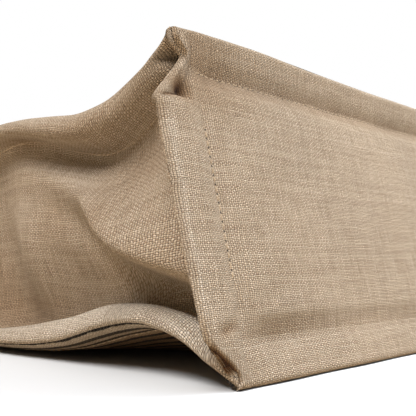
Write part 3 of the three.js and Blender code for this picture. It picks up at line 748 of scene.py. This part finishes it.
def loopPath(hinge, angle):  # left leg, round the top, right leg
    legs = np.linspace(0, strap["legs"], strap["legSteps"])[:-1]
    turn = np.linspace(0, math.pi, strap["topSteps"])
    half = strap["span"] / 2
    top = strap["legs"] + (strap["reach"] - strap["legs"]) * np.sin(turn)
    along = np.concatenate([legs, top, legs[::-1]])
    x = np.concatenate([np.full_like(legs, -half), -half * np.cos(turn), np.full_like(legs, half)])
    forward = np.array([0, math.cos(angle), math.sin(angle)])
    below = np.array([0, math.sin(angle), -math.cos(angle)])
    centre = hinge + x[:, None] * np.array([1, 0, 0]) + along[:, None] * forward + strap["lower"] * below
    tangent = unit(np.gradient(np.stack([x, along], -1), axis=0))
    outward = -tangent[:, 1:] * np.array([1, 0, 0]) + tangent[:, :1] * forward
    twist = (math.pi / 2 * (along / strap["reach"]) ** strap["twistPower"])[:, None]
    return centre, outward * np.cos(twist) + below * np.sin(twist)


def tabPath(hinge, front):  # from a tab's round end to where the loop starts
    end = hinge[1] - strap["tabPast"]
    level = hinge[2] - strap["lower"]
    start = end - strap["tab"]
    roundEnd = start + strap["width"] / 2 * (1 - np.cos(np.linspace(0, math.pi / 2, strap["endSteps"])))
    y = np.concatenate([roundEnd, np.linspace(roundEnd[-1], end - strap["bend"], strap["tabSteps"])[1:]])
    z = np.full_like(y, level)
    if not front:
        turn = np.linspace(0, math.pi, strap["bendSteps"])[1:]
        y = np.concatenate([y, y[-1] + strap["bend"] * np.sin(turn)])
        z = np.concatenate([z, level + strap["bend"] * (1 - np.cos(turn))])
    size = np.ones_like(y)
    inEnd = np.clip((roundEnd - start) / (strap["width"] / 2), strap["endLeast"], 1)
    size[:len(roundEnd)] = np.sqrt(1 - (1 - inEnd) ** 2)
    return y, z, size


def strapProfile():
    corner = strap["round"]
    half, thick = strap["width"] / 2 - corner, strap["thick"] / 2 - corner
    points = []
    for cx, cz, first in ((1, 1, 0), (-1, 1, 90), (-1, -1, 180), (1, -1, 270)):
        for degrees in np.linspace(first, first + 90, strap["roundSteps"]):
            bend = math.radians(degrees)
            points.append((cx * half + corner * math.cos(bend), cz * thick + corner * math.sin(bend)))
    return np.array(points)


def makeStrap(name, front):
    end = "front" if front else "back"
    hinge = hingeOf(end + "_handle_swing")
    angle = math.radians(strap["frontTilt"] if front else strap["backFold"])
    centre, across = loopPath(hinge, angle)
    y, z, size = tabPath(hinge, front)
    if front:
        keep = centre[:, 1] > y[-1] + strap["joinGap"]
    else:  # the legs ease from the round bend into the flat of the loop
        lift = z[-1] - centre[:, 2]
        eased = 1 - ramp((y[-1] - centre[:, 1]) / strap["settle"])
        centre[:, 2] += np.where(centre[:, 1] > y[-1] - strap["settle"], lift * eased, 0)
        keep = centre[:, 1] < y[-1] - strap["joinGap"]
    centre, across = centre[keep], across[keep]
    tab = np.stack([np.full_like(y, -strap["span"] / 2), y, z], -1)
    centre = np.concatenate([tab, centre, tab[::-1] * np.array([-1, 1, 1])])
    sideways = np.tile([-1.0, 0, 0], (len(y), 1))
    across = np.concatenate([sideways, across, -sideways])
    size = np.concatenate([size, np.ones(len(centre) - 2 * len(size)), size[::-1]])
    tangent = unit(np.gradient(centre, axis=0))
    across = unit(across - tangent * np.sum(across * tangent, axis=1, keepdims=True))
    up = np.cross(tangent, across)
    profile = strapProfile()
    wide = profile[:, 0][None, :, None] * size[:, None, None] * across[:, None]
    points = centre[:, None] + wide + profile[:, 1][None, :, None] * up[:, None]
    rings, sides = len(centre), len(profile)
    number = np.arange(rings * sides).reshape(rings, sides)
    nextSide = np.roll(number, -1, axis=1)
    quads = np.stack([number[:-1], nextSide[:-1], nextSide[1:], number[1:]], -1).reshape(-1, 4)
    faces = quads.tolist() + [number[0, ::-1].tolist(), number[-1].tolist()]
    length = runLength(centre)
    uv = np.stack([np.repeat(length, sides), np.tile(profile[:, 0], rings) * np.repeat(size, sides)], -1)
    piece = meshObject(name, points.reshape(-1, 3), faces, uv)
    nearEdge = np.clip(1 - (strap["width"] / 2 - abs(profile[:, 0])) / strap["round"], 0, 1)
    pointValues(piece, "cutEdge", np.tile(nearEdge, rings))
    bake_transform(piece)
    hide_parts(end + "_handle", end + "_left_tab", end + "_right_tab")
    print(name, "length", round(float(length[-1])), "mm")
    return piece


straps = [makeStrap("front_strap", True), makeStrap("back_strap", False)]

# Rivets, modelled once as a cap and once as a back, then copied to their places
rivet = {
    "radius": 5, "sides": 36, "rim": 0.6, "height": 1.7, "steps": 5, "blunt": 0.6, "post": 2,
    "postLength": {"cap": 1.0, "back": 0.2}, "edge": 0.18, "edgeAngle": 40, "smoothAngle": 35,
}


def selectSeat(piece):  # the round face under the cap
    bpy.ops.mesh.select_all(action="DESELECT")
    bpy.ops.object.mode_set(mode="OBJECT")
    for face in piece.data.polygons:
        face.select = len(face.vertices) > 4 and face.center.z < 1e-6
    bpy.ops.object.mode_set(mode="EDIT")


def extrudeUp(height):
    bpy.ops.mesh.extrude_region_move(TRANSFORM_OT_translate={"value": (0, 0, height * mm)})


def modelRivet(name, postLength):
    bpy.ops.object.select_all(action="DESELECT")
    bpy.ops.mesh.primitive_circle_add(vertices=rivet["sides"], radius=rivet["radius"] * mm, fill_type="NGON")
    piece = bpy.context.object
    piece.name = name
    bpy.ops.object.mode_set(mode="EDIT")
    bpy.ops.mesh.select_all(action="SELECT")
    extrudeUp(rivet["rim"])
    dome = rivet["height"] - rivet["rim"]
    width, level = 1.0, 0.0
    for step in range(1, rivet["steps"] + 1):  # rings drawn in along a quarter of an ellipse
        turn = step / (rivet["steps"] + rivet["blunt"]) * math.pi / 2
        newWidth, newLevel = math.cos(turn), math.sin(turn) * dome
        extrudeUp(newLevel - level)
        bpy.ops.transform.resize(value=(newWidth / width, newWidth / width, 1))
        width, level = newWidth, newLevel
    selectSeat(piece)
    bpy.ops.mesh.inset(thickness=(rivet["radius"] - rivet["post"]) * mm)
    extrudeUp(-postLength)
    bpy.ops.mesh.select_all(action="SELECT")
    bpy.ops.mesh.normals_make_consistent(inside=False)
    bpy.ops.object.mode_set(mode="OBJECT")
    bevel = piece.modifiers.new("soft_rim", "BEVEL")
    bevel.width = rivet["edge"] * mm
    bevel.segments = 2
    bevel.angle_limit = math.radians(rivet["edgeAngle"])
    bpy.ops.object.modifier_apply(modifier="soft_rim")
    bpy.ops.object.shade_smooth_by_angle(angle=math.radians(rivet["smoothAngle"]))
    return piece


def placeRivets():
    models = {kind: modelRivet("rivet_%s_model" % kind, post) for kind, post in rivet["postLength"].items()}
    placed = []
    for node in [name for name in frame["nodes"] if "_rivet_" in name]:
        kind = node.rsplit("_", 1)[1]
        low, high = (np.array(corner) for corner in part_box(node))
        looksDown = node.startswith("front") == (kind == "cap")
        middle = (low + high) / 2
        seat = low[2] + rivet["height"] * mm if looksDown else high[2] - rivet["height"] * mm
        bpy.ops.object.select_all(action="DESELECT")
        piece = models[kind].copy()
        piece.data = models[kind].data.copy()
        piece.name = node.replace("_rivet_", "_brass_rivet_")
        bpy.context.scene.collection.objects.link(piece)
        piece.location = (middle[0], middle[1], seat)
        piece.rotation_euler = (math.pi if looksDown else 0, 0, 0)
        bpy.context.view_layer.objects.active = piece
        piece.select_set(True)
        bpy.ops.object.transform_apply(location=True, rotation=True, scale=True)
        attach(piece, "bag")
        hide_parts(node)
        placed.append(piece)
    for model in models.values():
        bpy.data.objects.remove(model, do_unlink=True)
    print(len(placed), "rivet halves placed")
    return placed


rivets = placeRivets()


# Node helpers
def newMaterial(name):
    material = bpy.data.materials.new(name)
    material.use_nodes = True
    tree = material.node_tree
    return material, tree, tree.nodes["Principled BSDF"]


def addNode(tree, kind, sockets=None, **settings):
    node = tree.nodes.new(kind)
    for key, value in settings.items():
        setattr(node, key, value)
    for key, value in (sockets or {}).items():
        plug(tree, value, node.inputs[key])
    return node


def plug(tree, value, socket):
    if isinstance(value, bpy.types.NodeSocket):
        tree.links.new(value, socket)
    else:
        socket.default_value = value


def calc(tree, operation, *values):
    return addNode(tree, "ShaderNodeMath", dict(enumerate(values)), operation=operation).outputs[0]


def mixTone(tree, share, a, b, mode="MIX"):
    node = addNode(tree, "ShaderNodeMix", data_type="RGBA", blend_type=mode)
    for place, value in ((0, share), (6, a), (7, b)):
        plug(tree, value, node.inputs[place])
    return node.outputs[2]


def remap(tree, value, fromLow, fromHigh, toLow, toHigh):
    sockets = {"Value": value, "From Min": fromLow, "From Max": fromHigh, "To Min": toLow, "To Max": toHigh}
    return addNode(tree, "ShaderNodeMapRange", sockets).outputs["Result"]


def colourSteps(tree, value, stops):
    node = addNode(tree, "ShaderNodeValToRGB", {"Fac": value})
    ramps = node.color_ramp.elements
    while len(ramps) < len(stops):
        ramps.new(0.5)
    for element, (place, colour) in zip(ramps, stops):
        element.position = place
        element.color = (*colour, 1)
    return node.outputs["Color"]


def newGroup(name, inputs, outputs):
    group = bpy.data.node_groups.new(name, "ShaderNodeTree")
    for socketName, kind in inputs:
        group.interface.new_socket(socketName, in_out="INPUT", socket_type=kind)
    for socketName, kind in outputs:
        group.interface.new_socket(socketName, in_out="OUTPUT", socket_type=kind)
    return group, group.nodes.new("NodeGroupInput").outputs, group.nodes.new("NodeGroupOutput").inputs


def noise(tree, where, scale, detail, output="Fac"):
    sockets = {"Vector": where, "Scale": scale, "Detail": detail}
    return addNode(tree, "ShaderNodeTexNoise", sockets).outputs[output]


def pointValue(tree, name):
    return addNode(tree, "ShaderNodeAttribute", attribute_name=name).outputs["Fac"]


def objectSpot(tree):
    return addNode(tree, "ShaderNodeTexCoord").outputs["Object"]


def cutSpot(tree):
    return addNode(tree, "ShaderNodeUVMap", uv_map="cut").outputs["UV"]


def bumped(tree, height, strength, distance):
    sockets = {"Strength": strength, "Distance": distance, "Height": height}
    return addNode(tree, "ShaderNodeBump", sockets).outputs["Normal"]


def dress(tree, shader, sockets):
    for name, value in sockets.items():
        plug(tree, value, shader.inputs[name])


# Plain weave: over and under yarns with slubs, in the cloth's own flat coordinates
weave = {
    "wander": 55, "wanderYarns": 1.8, "jitter": 400, "jitterYarns": 1.4, "driftDetail": 2.0,
    "lane": (7.13, 8.13), "laneGap": 5.0, "slubLength": 0.055, "slubDetail": 3.0, "slubTone": 0.6,
    "slubSpan": (0.25, 0.75), "slubThick": (0.72, 1.25), "chanceGap": 40.0, "chanceTone": (0.08, 0.18),
    "under": 0.42, "middle": 0.58, "floatTone": 0.2, "gapSpan": (0.12, 0.7),
}


def makeWeaveGroup():
    value, vector = "NodeSocketFloat", "NodeSocketVector"
    given = [("Cloth", vector), ("Across", value), ("Along", value)]
    named = [(name, value) for name in ("Tone", "Gap", "Height", "Warp", "Yarn")]
    group, given, out = newGroup("plainWeave", given, named)
    plus, minus, times = (partial(calc, group, kind) for kind in ("ADD", "SUBTRACT", "MULTIPLY"))
    place = addNode(group, "ShaderNodeSeparateXYZ", {"Vector": given["Cloth"]}).outputs
    drifts = []
    for size in ("wander", "jitter"):
        drift = noise(group, given["Cloth"], weave[size], weave["driftDetail"], "Color")
        split = addNode(group, "ShaderNodeSeparateColor", {"Color": drift}).outputs
        drifts.append((split, weave[size + "Yarns"]))
    counts = []
    for axis, pitch in enumerate(("Across", "Along")):
        count = calc(group, "DIVIDE", place[axis], given[pitch])
        for split, amount in drifts:
            shift = times(minus(split[axis], 0.5), amount)
            count = plus(count, shift)
        counts.append(count)
    yarns = [calc(group, "FLOOR", count) for count in counts]
    crowns = []
    for count in counts:
        side = calc(group, "MULTIPLY_ADD", calc(group, "FRACT", count), 2.0, -1.0)
        crowns.append(minus(1.0, times(side, side)))
    half = calc(group, "FRACT", times(plus(*yarns), 0.5))
    turn = calc(group, "MULTIPLY_ADD", half, 4.0, -1.0)
    tops, tones = [], []
    for own, other, sign in ((0, 1, 1.0), (1, 0, -1.0)):
        run = times(counts[other], weave["slubLength"])
        lane = times(yarns[own], weave["lane"][own])
        spot = addNode(group, "ShaderNodeCombineXYZ", {0: lane, 1: run, 2: weave["laneGap"] * own}).outputs[0]
        slub = noise(group, spot, 1.0, weave["slubDetail"])
        yarn = {"W": plus(yarns[own], weave["chanceGap"] * own)}
        chance = addNode(group, "ShaderNodeTexWhiteNoise", yarn, noise_dimensions="1D").outputs["Value"]
        crimp = times(turn, sign * weave["under"])
        crimp = times(crimp, calc(group, "SQRT", crowns[other]))
        body = times(crowns[own], plus(crimp, weave["middle"]))
        thick = remap(group, slub, *weave["slubSpan"], *weave["slubThick"])
        tops.append(times(body, thick))
        tone = times(slub, weave["slubTone"])
        tones.append(plus(tone, times(chance, weave["chanceTone"][own])))
    over = calc(group, "GREATER_THAN", *tops)
    height = calc(group, "MAXIMUM", *tops)
    below = times(tones[1], minus(1.0, over))
    tone = plus(times(tones[0], over), below)
    lifted = times(minus(over, 0.5), weave["floatTone"])
    gap = remap(group, height, *weave["gapSpan"], 0.0, 1.0)
    tone = plus(tone, lifted)
    results = {"Tone": tone, "Gap": gap, "Height": height, "Warp": over, "Yarn": yarns[0]}
    for name, result in results.items():
        plug(group, result, out[name])
    return group


linen = {
    "pitches": {"base_linen": (1.1, 0.7), "body_linen": (1.27, 0.9), "striped_linen": (0.7, 1.1)},
    "tones": [(0.16, (0.355, 0.260, 0.178)), (0.36, (0.51, 0.407, 0.301)), (0.58, (0.655, 0.552, 0.443))],
    "gapShade": (0.22, 1.08), "bump": 1.0, "depth": 0.0009,
    "blotch": 14, "blotchDetail": 4.0, "blotchSpan": (0.3, 0.7), "blotchAmount": 0.06,
    # how dark and how warm the painted shade makes the colour
    "paintedShadeDarkest": 0.1, "paintedShadeWarmth": (0.95, 1.33, 1.8),
    "stripeEvery": 10, "stripeYarns": 4, "stripeShift": 3.0, "ink": (0.012, 0.012, 0.014), "inkUnder": 0.9,
}


def makeLinen(name, group, striped):
    material, tree, shader = newMaterial(name)
    cut = cutSpot(tree)
    across, along = linen["pitches"][name]
    sockets = {"Cloth": cut, "Across": across * mm, "Along": along * mm}
    cloth = addNode(tree, "ShaderNodeGroup", node_tree=group)
    dress(tree, cloth, sockets)
    made = cloth.outputs
    colour = colourSteps(tree, made["Tone"], linen["tones"])
    if striped:
        shifted = calc(tree, "ADD", made["Yarn"], linen["stripeShift"])
        left = calc(tree, "MODULO", shifted, float(linen["stripeEvery"]))
        thin = calc(tree, "LESS_THAN", left, linen["stripeYarns"] - 0.5)
        inked = calc(tree, "MULTIPLY", thin, remap(tree, made["Warp"], 0.0, 1.0, linen["inkUnder"], 1.0))
        colour = mixTone(tree, inked, colour, (*linen["ink"], 1))
    blotch, amount = noise(tree, cut, linen["blotch"], linen["blotchDetail"]), linen["blotchAmount"]
    cloudy = remap(tree, blotch, *linen["blotchSpan"], 1 - amount, 1 + amount)
    shade = calc(tree, "MULTIPLY", remap(tree, made["Gap"], 0.0, 1.0, *linen["gapShade"]), cloudy)
    # painted shade multiplies the colour darker and warmer; below zero it is painted light, paler and cooler
    lit = calc(tree, "MULTIPLY_ADD", pointValue(tree, "paintedShadeAndLight"), linen["paintedShadeDarkest"] - 1, 1.0)
    dim = [calc(tree, "MULTIPLY", shade, calc(tree, "POWER", lit, power)) for power in linen["paintedShadeWarmth"]]
    shadow = addNode(tree, "ShaderNodeCombineColor", dict(enumerate(dim))).outputs[0]
    dress(tree, shader, {
        "Base Color": mixTone(tree, 1.0, colour, shadow, "MULTIPLY"),
        "Normal": bumped(tree, made["Height"], linen["bump"], linen["depth"]),
        "Roughness": 0.93, "Specular IOR Level": 0.2, "Sheen Weight": 0.06, "Sheen Roughness": 0.5})
    return material


weaveGroup = makeWeaveGroup()
bodyLinen = makeLinen("body_linen", weaveGroup, False)
for side in (leftSide, rightSide, backSide):
    side["piece"].data.materials.append(bodyLinen)
base["piece"].data.materials.append(makeLinen("base_linen", weaveGroup, False))
frontSide["piece"].data.materials.append(makeLinen("striped_linen", weaveGroup, True))

thread = {
    "twist": 900, "tones": [(0.35, (0.40, 0.305, 0.21)), (0.65, (0.56, 0.45, 0.325))],
    # the dark disc colour at the needle holes is painted shade
    "hole": (0.045, 0.030, 0.018), "bump": (0.4, 0.0001),
}


def makeThread():
    material, tree, shader = newMaterial("sewing_thread")
    ply = noise(tree, objectSpot(tree), thread["twist"], 2.0)
    colour = colourSteps(tree, ply, thread["tones"])
    dress(tree, shader, {
        "Base Color": mixTone(tree, pointValue(tree, "hole"), colour, (*thread["hole"], 1)),
        "Normal": bumped(tree, ply, *thread["bump"]), "Roughness": 0.85})
    return material


sewingThread = makeThread()
for side in (base, leftSide, rightSide, frontSide, backSide):
    side["stitching"].data.materials.append(sewingThread)
print("linen woven")


leather = {
    "tan": (0.36, 0.165, 0.070), "deep": (0.19, 0.075, 0.030), "edge": (0.055, 0.022, 0.011),
    "cloud": 45, "pores": 1500, "poreDepth": 0.35, "gloss": (0.2, 0.8, 0.42, 0.62), "bump": (0.5, 0.0004),
    "crease": 10.2, "creaseWidth": 0.45, "creaseTone": 0.7,
}


def makeLeather():
    material, tree, shader = newMaterial("tanned_leather")
    spot = objectSpot(tree)
    cloud = noise(tree, spot, leather["cloud"], 5.0)
    pores = addNode(tree, "ShaderNodeTexVoronoi", {"Vector": spot, "Scale": leather["pores"]})
    across = addNode(tree, "ShaderNodeSeparateXYZ", {"Vector": cutSpot(tree)}).outputs[1]
    off = calc(tree, "SUBTRACT", calc(tree, "ABSOLUTE", across), leather["crease"] * mm)
    line = remap(tree, calc(tree, "ABSOLUTE", off), 0.0, leather["creaseWidth"] * mm, 1.0, 0.0)
    paintedCreaseShade = calc(tree, "MULTIPLY", line, leather["creaseTone"])
    colour = colourSteps(tree, cloud, [(0.3, leather["deep"]), (0.7, leather["tan"])])
    colour = mixTone(tree, paintedCreaseShade, colour, (*leather["deep"], 1))
    raised = calc(tree, "MULTIPLY", pores.outputs["Distance"], leather["poreDepth"])
    height = calc(tree, "SUBTRACT", raised, line)
    dress(tree, shader, {
        "Base Color": mixTone(tree, pointValue(tree, "cutEdge"), colour, (*leather["edge"], 1)),
        "Roughness": remap(tree, cloud, *leather["gloss"]),
        "Normal": bumped(tree, height, *leather["bump"])})
    return material


brass = {
    "tones": [(0.35, (0.52, 0.36, 0.16)), (0.6, (0.80, 0.60, 0.30))], "age": 260.0,
    "brush": 900, "stretch": (1, 0.08, 1), "gloss": (0.2, 0.8, 0.22, 0.45), "bump": (0.15, 0.0002),
}


def makeBrass():
    material, tree, shader = newMaterial("aged_brass")
    spot = objectSpot(tree)
    stretched = addNode(tree, "ShaderNodeMapping", {"Vector": spot, "Scale": brass["stretch"]})
    brush = noise(tree, stretched.outputs["Vector"], brass["brush"], 3.0)
    dress(tree, shader, {
        "Base Color": colourSteps(tree, noise(tree, spot, brass["age"], 4.0), brass["tones"]),
        "Roughness": remap(tree, brush, *brass["gloss"]),
        "Normal": bumped(tree, brush, *brass["bump"]), "Metallic": 1.0})
    return material


board = {
    "tones": [(0.3, (0.26, 0.175, 0.10)), (0.7, (0.42, 0.30, 0.185))], "fibre": 420, "bump": (0.3, 0.0004),
}


def makeBoard():
    material, tree, shader = newMaterial("fibre_board")
    fibre = noise(tree, objectSpot(tree), board["fibre"], 6.0)
    dress(tree, shader, {
        "Base Color": colourSteps(tree, fibre, board["tones"]),
        "Normal": bumped(tree, fibre, *board["bump"]), "Roughness": 0.85})
    return material


tannedLeather, agedBrass = makeLeather(), makeBrass()
for piece in straps:
    piece.data.materials.append(tannedLeather)
for piece in rivets:
    piece.data.materials.append(agedBrass)
stiffener = frame["nodes"]["bottom_board"]
stiffener.data.materials.clear()
stiffener.data.materials.append(makeBoard())
print("leather, brass and board finished")


# Floor, light and camera
studio = {
    "camera": (-0.3972, -0.3135, 0.0463), "heading": 48, "pitch": 4.14, "focal": 62.13, "sensor": 36,
    "near": 0.01,
    "floorSize": 14, "floorTone": (0.58, 0.606, 0.638), "floorBounce": (0.53, 0.43, 0.31),
    "worldTone": (1.0, 0.81, 0.58), "worldLight": 0.22,
    # broad overhead light and a stronger one from the left, both far away so the floor is evenly lit
    "top_light": {"kind": "SUN", "place": (0.25, -0.7, 2.2), "aim": (0, 0, 0), "spread": 50, "power": 1.55,
                  "tone": (0.97, 1, 1.05)},
    "side_light": {"kind": "SUN", "place": (-1.3, -0.2, 2.2), "aim": (0, 0, 0), "spread": 36, "power": 4.1,
                   "tone": (1.03, 0.985, 0.94)},
    "near_light": {"kind": "AREA", "place": (0.35, -0.4, 0.5), "aim": (-0.08, -0.14, 0.06), "size": 0.45,
                   "power": 5.8, "tone": (0.94, 1, 1.05)},
}


def addLamp(name):
    lamp = studio[name]
    bpy.ops.object.light_add(type=lamp["kind"], location=lamp["place"])
    light = bpy.context.object
    light.name = name
    if lamp["kind"] == "SUN":
        light.data.angle = math.radians(lamp["spread"])
    else:
        light.data.size = lamp["size"]
    light.data.energy = lamp["power"]
    light.data.color = lamp["tone"]
    x, y, z = np.array(lamp["aim"]) - np.array(light.location)
    light.rotation_euler = (math.atan2(math.hypot(x, y), -z), 0, math.atan2(y, x) - math.pi / 2)


def makeStudio():
    scene = bpy.context.scene
    bpy.ops.object.select_all(action="DESELECT")
    bpy.ops.mesh.primitive_plane_add(size=studio["floorSize"])
    floor = bpy.context.object
    floor.name = "studio_floor"
    paint, tree, shader = newMaterial("floor_paint")
    direct = addNode(tree, "ShaderNodeLightPath").outputs["Is Camera Ray"]
    pale, bounced = ((*studio[key], 1) for key in ("floorTone", "floorBounce"))
    dress(tree, shader, {"Base Color": mixTone(tree, direct, bounced, pale), "Roughness": 0.8})
    floor.data.materials.append(paint)
    world = bpy.data.worlds.new("studio_world")
    world.use_nodes = True
    sky = world.node_tree
    seen = addNode(sky, "ShaderNodeLightPath").outputs["Is Camera Ray"]
    dress(sky, sky.nodes["Background"], {
        "Strength": remap(sky, seen, 0.0, 1.0, studio["worldLight"], 1.0),
        "Color": mixTone(sky, seen, (*studio["worldTone"], 1), (1, 1, 1, 1))})
    scene.world = world
    for name in ("top_light", "side_light", "near_light"):
        addLamp(name)
    bpy.ops.object.camera_add(location=studio["camera"])
    camera = bpy.context.object
    camera.data.lens = studio["focal"]
    camera.data.sensor_width = studio["sensor"]
    camera.rotation_euler = (math.radians(90 + studio["pitch"]), 0, -math.radians(studio["heading"]))
    camera.data.clip_start = studio["near"]
    scene.camera = camera
    scene.view_settings.view_transform = "Standard"
    print("studio set")


makeStudio()
